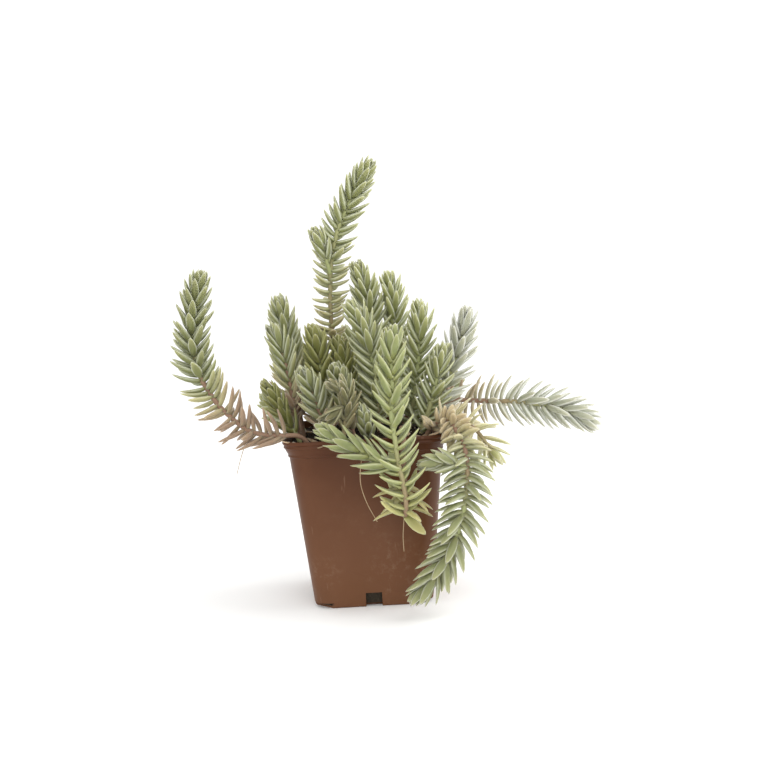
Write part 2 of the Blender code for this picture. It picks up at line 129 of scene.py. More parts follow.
def cut_box(name, size, centre, turn):
    """A box to cut with, its middle at the centre, both then turned round the origin."""
    deselect()
    bpy.ops.mesh.primitive_cube_add(size=1, location=centre)
    cutter = bpy.context.object
    cutter.name = name
    cutter.scale = size
    bpy.ops.object.transform_apply(location=True, rotation=False, scale=True)
    cutter.rotation_euler.z = turn
    return cutter


def pot_cutters():
    """Shapes for the notch in the foot of each side, the cut under each corner and the floor's holes."""
    past_wall = 2 * MM
    cutters = []
    for quarter in range(4):
        side = quarter * math.pi / 2
        notch_size = (NOTCH_WIDTH, NOTCH_DEPTH + past_wall, 2 * NOTCH_HEIGHT)
        notch_place = (0, -(BASE_WIDTH - NOTCH_DEPTH + past_wall) / 2, 0)
        cutters.append(cut_box("notch", notch_size, notch_place, side))
        corner_size = (BASE_WIDTH / 2, BASE_WIDTH, 2 * FOOT_CUT_HEIGHT)
        corner_place = ((BASE_WIDTH - FOOT_CUT_LEG) / math.sqrt(2) + BASE_WIDTH / 4, 0, 0)
        cutters.append(cut_box("corner", corner_size, corner_place, side + math.pi / 4))
        hole = Matrix.Rotation(side, 3, "Z") @ Vector((DRAIN_HOLE_OFFSET, DRAIN_HOLE_OFFSET, 0))
        deselect()
        bpy.ops.mesh.primitive_cylinder_add(vertices=DRAIN_HOLE_SIDES, radius=DRAIN_HOLE_RADIUS,
                                            depth=4 * POT_FLOOR, location=hole)
        cutters.append(bpy.context.object)
    return cutters


def cut_away(obj, cutters):
    """Cuts each shape out of the object and removes it."""
    for cutter in cutters:
        cut = obj.modifiers.new("cut", "BOOLEAN")
        cut.operation = "DIFFERENCE"
        cut.object = cutter
    apply_modifiers(obj)
    for cutter in cutters:
        bpy.data.objects.remove(cutter, do_unlink=True)


def hex_colour(code):
    """An sRGB hex colour, turned linear."""
    shares = [int(code[start:start + 2], 16) / 255 for start in (1, 3, 5)]
    return [share / 12.92 if share <= 0.04045 else ((share + 0.055) / 1.055) ** 2.4 for share in shares] + [1]


def add_node(tree, kind, settings, inputs):
    """A new node with its settings; each input is a value, a hex colour or the socket that feeds it."""
    node = tree.nodes.new(kind)
    for name, value in settings.items():
        setattr(node, name, value)
    for name, value in inputs.items():
        if isinstance(value, bpy.types.NodeSocket):
            tree.links.new(value, node.inputs[name])
        else:
            node.inputs[name].default_value = hex_colour(value) if isinstance(value, str) else value
    return node


def new_material(name, roughness):
    """A material, its node tree and its shader."""
    mat = bpy.data.materials.new(name)
    mat.use_nodes = True
    shader = mat.node_tree.nodes["Principled BSDF"]
    shader.inputs["Roughness"].default_value = roughness
    return mat, mat.node_tree, shader


# A Mix node has a pair of inputs for each kind of data; these are its places for colours
MIX_A, MIX_B, MIX_OUT = 6, 7, 2


def tint(tree, base, colour, value, low=0, high=1, high_share=1, low_share=0):
    """The base colour with a share of another, which changes as the value goes from low to high."""
    share = add_node(tree, "ShaderNodeMapRange", {},
                     {"Value": value, "From Min": low, "From Max": high, "To Min": low_share,
                      "To Max": high_share})
    tinted = add_node(tree, "ShaderNodeMix", {"data_type": "RGBA"},
                      {"Factor": share.outputs["Result"], MIX_A: base, MIX_B: colour})
    return tinted.outputs[MIX_OUT]


# Polypropylene with brown pigment, straight from a polished mould: a satin skin with faint flow marks,
# fine scratches from stacking and pale dust that has dried on the wall.
def pot_plastic():
    mat, tree, shader = new_material("moulded_polypropylene", 0.42)
    shader.inputs["Specular IOR Level"].default_value = 0.2
    place = add_node(tree, "ShaderNodeTexCoord", {}, {}).outputs["Object"]
    height = add_node(tree, "ShaderNodeSeparateXYZ", {}, {"Vector": place}).outputs["Z"]
    # The wall is painted darker towards the rim: painted shade from the collar and the stems above it
    shaded_wall = tint(tree, "#6B472F", "#4C2811", height, 0, POT_HEIGHT)
    flow = add_node(tree, "ShaderNodeTexNoise", {}, {"Vector": place, "Scale": 1 / (25 * MM), "Detail": 3})
    flowed = tint(tree, shaded_wall, "#6E4932", flow.outputs["Fac"], 0.4, 0.75, 0.3)
    # Dust: blotches a few millimetres across, only where a slower pattern lets them be
    blotch = add_node(tree, "ShaderNodeTexNoise", {},
                      {"Vector": place, "Scale": 1 / (4 * MM), "Detail": 8, "Roughness": 0.7})
    patch = add_node(tree, "ShaderNodeTexNoise", {}, {"Vector": place, "Scale": 1 / (30 * MM), "Detail": 1})
    dusty = add_node(tree, "ShaderNodeMapRange", {},
                     {"Value": patch.outputs["Fac"], "From Min": 0.45, "From Max": 0.65})
    speckle = add_node(tree, "ShaderNodeMapRange", {},
                       {"Value": blotch.outputs["Fac"], "From Min": 0.5, "From Max": 0.78, "To Max": 0.5})
    dust = add_node(tree, "ShaderNodeMath", {"operation": "MULTIPLY"},
                    {0: dusty.outputs["Result"], 1: speckle.outputs["Result"]})
    # and only low on the wall, where water has splashed
    splashed = add_node(tree, "ShaderNodeMapRange", {},
                        {"Value": height, "From Min": 30 * MM, "From Max": 55 * MM,
                         "To Min": 1, "To Max": 0.1})
    low_dust = add_node(tree, "ShaderNodeMath", {"operation": "MULTIPLY"},
                        {0: dust.outputs[0], 1: splashed.outputs["Result"]})
    dusted = tint(tree, flowed, "#8C705B", low_dust.outputs[0])
    # Scratches: thin short lines, drawn about 0.3 mm wide so that they show
    turned = add_node(tree, "ShaderNodeMapping", {},
                      {"Vector": place, "Rotation": (0.3, 0.5, 0.9), "Scale": (1, 1, 0.06)})
    scratch = add_node(tree, "ShaderNodeTexNoise", {},
                       {"Vector": turned.outputs["Vector"], "Scale": 1 / (2.2 * MM), "Detail": 2})
    scratched = tint(tree, dusted, "#8A6A55", scratch.outputs["Fac"], 0.7, 0.74, 0.3)
    tree.links.new(scratched, shader.inputs["Base Color"])
    grain = add_node(tree, "ShaderNodeTexNoise", {}, {"Vector": place, "Scale": 1 / (0.8 * MM), "Detail": 2})
    bump = add_node(tree, "ShaderNodeBump", {},
                    {"Strength": 0.12, "Distance": 0.1 * MM, "Height": grain.outputs["Fac"]})
    tree.links.new(bump.outputs["Normal"], shader.inputs["Normal"])
    return mat


pot = rounded_shell("nursery_pot", OUTSIDE_RINGS + INSIDE_RINGS)
cut_away(pot, pot_cutters())
rounding = pot.modifiers.new("rounding", "BEVEL")
rounding.width = EDGE_ROUNDING
rounding.segments = EDGE_SEGMENTS
rounding.limit_method = "ANGLE"
rounding.angle_limit = ROUNDING_ANGLE
apply_modifiers(pot)
bpy.ops.object.shade_smooth_by_angle(angle=SMOOTH_ANGLE)
pot.data.materials.append(pot_plastic())
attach(pot, "root")
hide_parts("pot")


# The soil is peat potting compost, dark and crumbly, pressed in by hand round the roots. It is level with the
# rim's inner step at the wall and mounded in the middle, with bark crumbs and pale grit lying on it.

SOIL_LOW, SOIL_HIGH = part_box("soil")
SOIL_WIDTH = SOIL_HIGH.x - SOIL_LOW.x
SOIL_TOP = SOIL_HIGH.z
SOIL_NECK_HEIGHT = 86.5 * MM
SOIL_NECK_WIDTH = 80.4 * MM
SOIL_FOOT_WIDTH = 62 * MM
SOIL_CORNER = 11 * MM
SOIL_CUTS = 72
# The mound is nearly flat but for its edge, roughened by lumps and crumbs, and has settled a little
SOIL_MOUND = 3.4 * MM
MOUND_FLATNESS = 5
LUMP_WIDTH = 9 * MM
LUMP_HEIGHT = 1.1 * MM
CRUMB_WIDTH = 2.2 * MM
CRUMB_HEIGHT = 0.6 * MM
SETTLING = 0.4 * MM
# What lies on it: how many, their smallest and largest radius, and how far from the wall they stay
CRUMBS = 900
CRUMB_RADII = (0.4 * MM, 1.6 * MM)
GRITS = 90
GRIT_RADII = (0.35 * MM, 0.9 * MM)
LOOSE_MARGIN = 1.5 * MM
# How far each corner of a crumb is dented or drawn out, and how much it is stretched each way
DENTS = (0.6, 1.25)
STRETCH = (0.6, 1.3)


def soil_height(x, y):
    """The height of the soil's surface above its level at the wall."""
    edge = max(abs(x), abs(y)) / (SOIL_WIDTH / 2)
    mound = SOIL_MOUND * (1 - min(edge, 1) ** MOUND_FLATNESS)
    lump = noise.noise(Vector((x, y, 0)) / LUMP_WIDTH) * LUMP_HEIGHT
    crumb = noise.noise(Vector((x, y, 0)) / CRUMB_WIDTH) * CRUMB_HEIGHT
    return mound + lump + crumb - SETTLING


def round_corner(x, y):
    """Pulls a point of a square in to the rounded corner of the pot."""
    straight = SOIL_WIDTH / 2 - SOIL_CORNER
    past = Vector((abs(x) - straight, abs(y) - straight))
    if min(past) <= 0:
        return x, y
    past *= max(past) / past.length
    return math.copysign(straight + past.x, x), math.copysign(straight + past.y, y)


def join(pieces, name):
    """Joins the pieces as one object."""
    deselect()
    for piece in pieces:
        piece.select_set(True)
    bpy.context.view_layer.objects.active = pieces[0]
    bpy.ops.object.join()
    whole = bpy.context.object
    whole.name = name
    whole.data.name = name
    return whole


def set_attribute(mesh, name, values):
    """A number for each corner point of the mesh, which a material reads by its name."""
    attribute = mesh.attributes.get(name) or mesh.attributes.new(name, "FLOAT", "POINT")
    spread_out = np.broadcast_to(values, len(mesh.vertices)).astype(np.float32)
    attribute.data.foreach_set("value", spread_out)


# Damp peat or stone grit: darker in the hollows and lighter on the crumbs, with no shine
def soil_material(name, dark, light):
    mat, tree, shader = new_material(name, 0.95)
    shader.inputs["Specular IOR Level"].default_value = 0.2
    place = add_node(tree, "ShaderNodeTexCoord", {}, {}).outputs["Object"]
    fibre = add_node(tree, "ShaderNodeTexNoise", {},
                     {"Vector": place, "Scale": 1 / (1.5 * MM), "Detail": 6, "Roughness": 0.7})
    tone, matting_and_painted_light = [add_node(tree, "ShaderNodeAttribute", {"attribute_name": number}, {}).outputs["Fac"]
                     for number in ("tone", "matting_and_painted_light")]
    blend = add_node(tree, "ShaderNodeMath", {"operation": "MULTIPLY_ADD"},
                     {0: tone, 1: 0.6, 2: fibre.outputs["Fac"]})
    crumbly = tint(tree, dark, light, blend.outputs[0], 0.5, 1)
    # The fine roots that have matted at the bottom of the pot show in the drainage notches. They are painted
    # lighter than the peat: partly their own colour, partly painted light in the shaded notches
    matted_and_painted_light = add_node(tree, "ShaderNodeMath", {"operation": "MULTIPLY"},
                      {0: matting_and_painted_light, 1: fibre.outputs["Fac"]})
    rooted = tint(tree, crumbly, "#544C40", matted_and_painted_light.outputs[0])
    tree.links.new(rooted, shader.inputs["Base Color"])
    bump = add_node(tree, "ShaderNodeBump", {},
                    {"Strength": 0.8, "Distance": 0.5 * MM, "Height": fibre.outputs["Fac"]})
    tree.links.new(bump.outputs["Normal"], shader.inputs["Normal"])
    return mat


def soil_block():
    """A grid for the crumbly top, drawn down to a flat foot."""
    deselect()
    bpy.ops.mesh.primitive_grid_add(x_subdivisions=SOIL_CUTS, y_subdivisions=SOIL_CUTS, size=SOIL_WIDTH,
                                    location=(0, 0, SOIL_TOP))
    block = bpy.context.object
    bpy.ops.object.transform_apply(location=True)
    bpy.ops.object.mode_set(mode="EDIT")
    bpy.ops.mesh.select_all(action="SELECT")
    bpy.ops.mesh.region_to_loop()
    height, width = SOIL_TOP, SOIL_WIDTH
    for next_height, next_width in ((SOIL_NECK_HEIGHT, SOIL_NECK_WIDTH), (SOIL_LOW.z, SOIL_FOOT_WIDTH)):
        share = next_width / width
        bpy.ops.mesh.extrude_region_move(TRANSFORM_OT_translate={"value": (0, 0, next_height - height)})
        bpy.ops.transform.resize(value=(share, share, 1))
        height, width = next_height, next_width
    bpy.ops.mesh.edge_face_add()
    bpy.ops.mesh.select_all(action="SELECT")
    bpy.ops.mesh.normals_make_consistent(inside=False)
    bpy.ops.object.mode_set(mode="OBJECT")
    for vert in block.data.vertices:
        top = vert.co.z > SOIL_TOP - MM
        width = SOIL_WIDTH if top else SOIL_NECK_WIDTH if vert.co.z > SOIL_LOW.z + MM else SOIL_FOOT_WIDTH
        share = width / SOIL_WIDTH
        x, y = round_corner(vert.co.x / share, vert.co.y / share)
        vert.co.x, vert.co.y = x * share, y * share
        if top:
            vert.co.z += soil_height(x, y)
    set_attribute(block.data, "tone", 0.2)
    # The foot of the block is marked for the matted roots, painted lighter as painted light in the shaded
    # notches
    set_attribute(block.data, "matting_and_painted_light", [vert.co.z < SOIL_LOW.z + MM for vert in block.data.vertices])
    bpy.ops.object.shade_smooth()
    return block


def reshaped_copy(obj, points):
    """A copy of the object with its own mesh, whose corner points are put at these."""
    copy = obj.copy()
    copy.data = obj.data.copy()
    bpy.context.collection.objects.link(copy)
    copy.data.vertices.foreach_set("co", points.ravel())
    return copy


def scatter_lumps(count, radii, name, draw):
    """Lumps lying on the soil, each dented and stretched in its own way; most of them are small."""
    deselect()
    bpy.ops.mesh.primitive_ico_sphere_add(subdivisions=1, radius=1)
    lump = bpy.context.object
    form = np.array([vert.co for vert in lump.data.vertices])
    pieces = []
    smallest, largest = radii
    reach = SOIL_WIDTH / 2 - LOOSE_MARGIN
    for _ in range(count):
        x, y = round_corner(draw.uniform(-reach, reach), draw.uniform(-reach, reach))
        radius = smallest + (largest - smallest) * draw.random() ** 3
        dents = np.array([[draw.uniform(*DENTS)] for _ in form])
        stretch = np.array([draw.uniform(*STRETCH) for _ in range(3)])
        place = np.array((x, y, SOIL_TOP + soil_height(x, y)))
        crumb = reshaped_copy(lump, form * dents * stretch * radius + place)
        set_attribute(crumb.data, "tone", draw.random())
        pieces.append(crumb)
    bpy.data.objects.remove(lump, do_unlink=True)
    return join(pieces, name)


def mesh_parts(obj):
    """The object's points and its faces, as plain lists."""
    points = [tuple(vert.co) for vert in obj.data.vertices]
    faces = [tuple(face.vertices) for face in obj.data.polygons]
    return points, faces


soil_draw = random.Random(3)
soil = soil_block()
# The leaves keep clear of the pot and of the soil without its crumbs
ground_parts = [mesh_parts(pot), mesh_parts(soil)]
soil = join([soil, scatter_lumps(CRUMBS, CRUMB_RADII, "crumbs", soil_draw)], "potting_soil_bed")
soil.data.materials.append(soil_material("peat_compost", "#110D09", "#3D2F20"))
grit = scatter_lumps(GRITS, GRIT_RADII, "soil_grit", soil_draw)
grit.data.materials.append(soil_material("pale_grit", "#8A7C68", "#D5CCBC"))
for piece in (soil, grit):
    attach(piece, "root")
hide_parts("soil")


# A leaf is fleshy and narrow, pointed, flat to slightly grooved above and rounded below, with a waxy bloom
# that is palest along its edges, where a painted highlight adds to it. It grows out of the stem without a
# stalk and curves up towards the tip.

LEAF_WIDTH = 5.0 * MM
LEAF_THICKNESS = 4.2 * MM
LEAF_SIDES = 8
# The upper side is flatter than the belly, with a groove along its middle, and its colour runs over the edges
UPPER_SHARE = 0.5
GROOVE_SHARE = 0.6
EDGE_UPPER = 0.7
# How near to a line or a height a point is that lies on it, where the whole leaf is 1
NEAR = 0.01
# For each ring: how far along the leaf it is, and its share of the full width and of the full thickness
LEAF_RINGS = [(0, 0.5, 0.62), (0.16, 0.76, 0.88), (0.36, 0.96, 1), (0.56, 1, 0.92), (0.77, 0.78, 0.68),
              (0.92, 0.42, 0.38)]


def model_leaf():
    """The leaf standing on its root: x across, y to its upper side and z along, each 1 at its full size."""
    deselect()
    bpy.ops.mesh.primitive_circle_add(vertices=LEAF_SIDES, radius=0.5, fill_type="NGON")
    leaf = bpy.context.object
    leaf.name = "leaf"
    bpy.ops.object.mode_set(mode="EDIT")
    bpy.ops.mesh.select_all(action="SELECT")
    low, wide, thick = LEAF_RINGS[0]
    bpy.ops.transform.resize(value=(wide, thick, 1))
    for high, next_wide, next_thick in LEAF_RINGS[1:]:
        bpy.ops.mesh.extrude_region_move(TRANSFORM_OT_translate={"value": (0, 0, high - low)})
        bpy.ops.transform.resize(value=(next_wide / wide, next_thick / thick, 1))
        low, wide, thick = high, next_wide, next_thick
    bpy.ops.mesh.extrude_region_move(TRANSFORM_OT_translate={"value": (0, 0, 1 - low)})
    bpy.ops.mesh.merge(type="CENTER")
    bpy.ops.mesh.select_all(action="SELECT")
    bpy.ops.mesh.normals_make_consistent(inside=False)
    bpy.ops.object.mode_set(mode="OBJECT")
    bpy.ops.object.shade_smooth()
    ring_widths = {round(low, 2): wide for low, wide, _ in LEAF_RINGS}
    edge, upper, along = [], [], []
    for vert in leaf.data.vertices:
        width = ring_widths.get(round(vert.co.z, 2))
        edge.append(abs(2 * vert.co.x) / width if width else 1)
        upper.append(1 if vert.co.y > NEAR else 0 if vert.co.y < -NEAR else EDGE_UPPER)
        along.append(vert.co.z)
        if vert.co.y > 0:
            vert.co.y *= UPPER_SHARE * (GROOVE_SHARE if abs(vert.co.x) < NEAR else 1)
    set_attribute(leaf.data, "edge", edge)
    set_attribute(leaf.data, "upper", upper)
    set_attribute(leaf.data, "along", along)
    return leaf


leaf = model_leaf()
leaf_shape = np.array([vert.co for vert in leaf.data.vertices])


# How one leaf has grown: its angle to the stem in degrees, its sizes, and as shares of its length how far its
# tip is curled along the stem, swayed to a side and drawn in to the stem
LeafForm = namedtuple("LeafForm", "angle length width thickness curl sway inward", defaults=(0,))


def leaf_at(root, tangent, side, form):
    """The points of a leaf that leaves the stem to the side, where the stem's own way is the tangent."""
    stem_way, side_way = np.array(tangent), np.array(side)
    angle = math.radians(form.angle)
    along = math.cos(angle) * stem_way + math.sin(angle) * side_way
    across = np.cross(stem_way, side_way)
    up = math.sin(angle) * stem_way - math.cos(angle) * side_way
    x, y, z = leaf_shape.T
    bend = z * z * form.length
    return (np.array(root) + np.outer(z * form.length, along)
            + np.outer(x * form.width + bend * form.sway, across)
            + np.outer(y * form.thickness, up)
            + np.outer(bend * form.curl, stem_way)
            - np.outer(bend * form.inward, side_way))


def ring_corners(height):
    """Every other point of the leaf's ring at this height, in order round it."""
    ring = [index for index, point in enumerate(leaf_shape) if abs(point[2] - height) < NEAR]
    # Adding 0.0 makes 0.0 of -0.0, which atan2 would put half a turn the other way
    ring.sort(key=lambda index: math.atan2(round(leaf_shape[index][1], 4) + 0.0, leaf_shape[index][0]))
    return ring[::2]


def guard_faces():
    """A few faces between some of the leaf's points, enough to tell whether it has room."""
    widest = max(LEAF_RINGS, key=lambda ring: ring[1])
    root_ring, wide_ring = ring_corners(LEAF_RINGS[0][0]), ring_corners(widest[0])
    tip = int(np.argmax(leaf_shape[:, 2]))
    faces = []
    for a in range(len(root_ring)):
        b = (a + 1) % len(root_ring)
        faces.append((root_ring[a], root_ring[b], wide_ring[b], wide_ring[a]))
        faces.append((wide_ring[a], wide_ring[b], tip))
    return faces


GUARD_FACES = guard_faces()


# A sedum leaf with its waxy bloom: dull, pinkish brown once it has grown old and dry, and darker and greener
# below, which is painted shade on its underside. Its edges are cream, partly the bloom and partly a painted
# highlight, and it is yellower at its root, partly its own colour and partly painted shade among the leaves.
# Light goes a little way into its flesh.
LeafColours = namedtuple("LeafColours", "upper belly edge root tip fading old")

LEAF_COLOURS = {
    "glaucous_leaf": ("#888D66", "#7C8050", "#C2C5AE", "#878B55", "#878B64", "#B4AE82", "#98806B"),
    "shaded_leaf": ("#7F8046", "#686A34", "#9C9D6E", "#79773A", "#797843", "#8A824E", "#846C4B"),
    "young_leaf": ("#8B9164", "#7D8454", "#B2B48E", "#999B5B", "#8D9159", "#A29E68", "#A2986A"),
    "pale_leaf": ("#90946F", "#7F8359", "#BABCA8", "#929264", "#888B63", "#B0AA82", "#AE9E7E"),
    "bloomed_leaf": ("#B0B2A4", "#A0A28F", "#DADBD5", "#A5A489", "#B6B7AD", "#ADA488", "#9C8570"),
    "yellowing_leaf": ("#A9A97E", "#8F8F5C", "#CDC9B0", "#B5A680", "#A38B6A", "#BDB690", "#B8A68A"),
    "dry_leaf": ("#848260", "#676542", "#A2A07E", "#857C5B", "#967C5D", "#928461", "#9A8064"),
}


def leaf_skin(name, colours):
    mat, tree, shader = new_material("waxy_" + name, 0.55)
    shader.inputs["Specular IOR Level"].default_value = 0.35
    shader.inputs["Subsurface Weight"].default_value = 0.8
    shader.inputs["Subsurface Radius"].default_value = (1.0, 1.0, 0.95)
    shader.inputs["Subsurface Scale"].default_value = 4.5 * MM
    shader.inputs["Sheen Weight"].default_value = 0.15
    shader.inputs["Sheen Roughness"].default_value = 0.5
    place = add_node(tree, "ShaderNodeTexCoord", {}, {}).outputs["Object"]
    upper, edge, along, age, tone = [
        add_node(tree, "ShaderNodeAttribute", {"attribute_name": number}, {}).outputs["Fac"]
        for number in ("upper", "edge", "along", "age", "tone")]
    # The belly's colour is painted shade: the underside is darker and greener than the upper side
    flesh = tint(tree, colours.belly, colours.upper, upper)
    # The bloom wears off in small patches, about a millimetre across
    bloom = add_node(tree, "ShaderNodeTexNoise", {}, {"Vector": place, "Scale": 1 / (1.6 * MM), "Detail": 3})
    worn = tint(tree, flesh, colours.belly, bloom.outputs["Fac"], 0.45, 0.75, 0.3)
    # Cream along the edges: partly the bloom, partly a painted highlight
    edged = tint(tree, worn, colours.edge, edge, 0.72, 1, 0.7)
    # Yellower towards the root: partly its own colour, partly painted shade among the packed leaves
    rooted = tint(tree, edged, colours.root, along, 0.05, 0.4, 0, 0.75)
    tipped = tint(tree, rooted, colours.tip, along, 0.88, 1, 0.5)
    # An old leaf turns yellow, then dries from its tip
    dried = add_node(tree, "ShaderNodeMath", {"operation": "MULTIPLY_ADD"}, {0: along, 1: 0.35, 2: -0.15})
    drying = add_node(tree, "ShaderNodeMath", {"operation": "ADD"}, {0: dried.outputs[0], 1: age})
    yellowed = tint(tree, tipped, colours.fading, drying.outputs[0], 0.05, 0.55, 0.9)
    aged = tint(tree, yellowed, colours.old, drying.outputs[0], 0.45, 1, 0.95)
    # The tone sets the leaf's brightness: its own random tone times its stem's painted light and shade
    toned = add_node(tree, "ShaderNodeHueSaturation", {}, {"Value": tone, "Color": aged})
    tree.links.new(toned.outputs["Color"], shader.inputs["Base Color"])
    wrinkle = add_node(tree, "ShaderNodeTexNoise", {},
                       {"Vector": place, "Scale": 1 / (0.7 * MM), "Detail": 3, "Roughness": 0.6})
    bump = add_node(tree, "ShaderNodeBump", {},
                    {"Strength": 0.3, "Distance": 0.12 * MM, "Height": wrinkle.outputs["Fac"]})
    tree.links.new(bump.outputs["Normal"], shader.inputs["Normal"])
    return mat


leaf_skins = {name: leaf_skin(name, LeafColours(*colours)) for name, colours in LEAF_COLOURS.items()}


# The stems grow as soft leafy shoots and turn brown and woody below. Each is one piece with its leaves and
# side branches. A young shoot stands up; an old one lies over the rim, hangs, and turns up at its tip.

# A stem or branch is given by these, in millimetres and degrees:
# bare, its leafless length at the soil
# spread, the angle between it and an open leaf
# leaf, the length of a leaf
# pitch, the rise from one leaf to the next
# fresh, how far below the tip the leaves start to age
# fade, the length over which they then grow old
# route, the points that it runs through
# old, the shares of its length, width and thickness that an old leaf has, and of the rise to the next
# form, the shares of the usual width and thickness that its leaves have
# lowest, the height that they stay above
# bloom, how bright they are painted beside the others: painted light and shade for where the stem stands in
# the light
# opened, how far below the tip they have opened
# dropped, the share of those at its front that have dropped
USUAL = ((0.92, 0.88, 0.65, 1), (1, 1), 0.5, 1, 60, 0.65)
Stem = namedtuple(
    "Stem", "node slot bare spread leaf pitch fresh fade route branches old form lowest bloom opened dropped",
    defaults=((), *USUAL))
Branch = namedtuple(
    "Branch", "bare spread leaf pitch fresh fade route old form lowest bloom opened dropped", defaults=USUAL)
